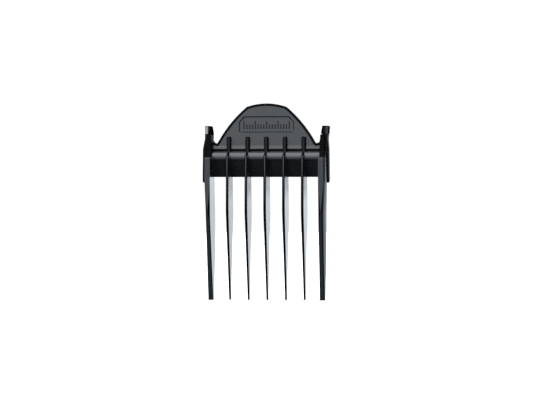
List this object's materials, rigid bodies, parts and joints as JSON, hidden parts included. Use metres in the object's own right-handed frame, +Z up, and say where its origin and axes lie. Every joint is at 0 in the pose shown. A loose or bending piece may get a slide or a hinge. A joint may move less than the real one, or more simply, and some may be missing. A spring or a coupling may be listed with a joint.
{
  "type": "clipper guide comb",
  "caption": "Slide-on guide comb for a hair clipper: arched thumb plate, cross bar, long sabre teeth, two thick outer teeth and a squeeze lever with a hook on each side.",
  "frame": {"origin": "on the flat rear face of the thumb plate, on the centre line, 2.8 mm above the crease over the round bar", "axes": "+X to the right seen from the front, +Y back towards the clipper head, +Z up the thumb plate and away from the tooth tips"},
  "size_m": [0.049, 0.0203, 0.0757],
  "materials": {
    "comb_gloss": "black moulded plastic, glossy, with a faint cool tint",
    "latch_satin": "black moulded plastic, fine spark-eroded texture",
    "lever_gloss": "black moulded plastic, glossy"
  },
  "bodies": {
    "comb": {"thumb_plate": "comb_gloss", "plate_rim": "comb_gloss", "round_bar": "comb_gloss", "apron": "comb_gloss", "tooth_1": "comb_gloss", "tooth_2": "comb_gloss", "tooth_3": "comb_gloss", "tooth_4": "comb_gloss", "tooth_5": "comb_gloss", "plate_rib_1": "comb_gloss", "plate_rib_2": "comb_gloss", "plate_rib_3": "comb_gloss", "plate_rib_4": "comb_gloss", "plate_rib_5": "comb_gloss", "rest_rib_1": "comb_gloss", "rest_rib_2": "comb_gloss", "rest_rib_3": "comb_gloss", "rest_rib_4": "comb_gloss", "rest_rib_5": "comb_gloss", "outer_tooth_left": "comb_gloss", "outer_tooth_right": "comb_gloss", "cheek_left": "comb_gloss", "cheek_right": "comb_gloss", "head_rail_left": "comb_gloss", "head_rail_right": "comb_gloss", "ear_left": "latch_satin", "ear_right": "latch_satin", "hinge_web_left": "latch_satin", "hinge_web_right": "latch_satin", "scale_strokes": "comb_gloss"},
    "left_lever": {"lever_arm_left": "lever_gloss", "lever_tab_left": "lever_gloss", "latch_hook_left": "lever_gloss"},
    "right_lever": {"lever_arm_right": "lever_gloss", "lever_tab_right": "lever_gloss", "latch_hook_right": "lever_gloss"}
  },
  "joints": [
    {"name": "left_lever_squeeze", "type": "hinge", "parent": "comb", "child": "left_lever", "pos_m": [-0.02315, 0, -0.0015], "axis": [0, -1, 0], "range_deg": [0, 2], "stiffness_Nm_per_rad": 0.3},
    {"name": "right_lever_squeeze", "type": "hinge", "parent": "comb", "child": "right_lever", "pos_m": [0.02315, 0, -0.0015], "axis": [0, 1, 0], "range_deg": [0, 2], "stiffness_Nm_per_rad": 0.3}
  ]
}
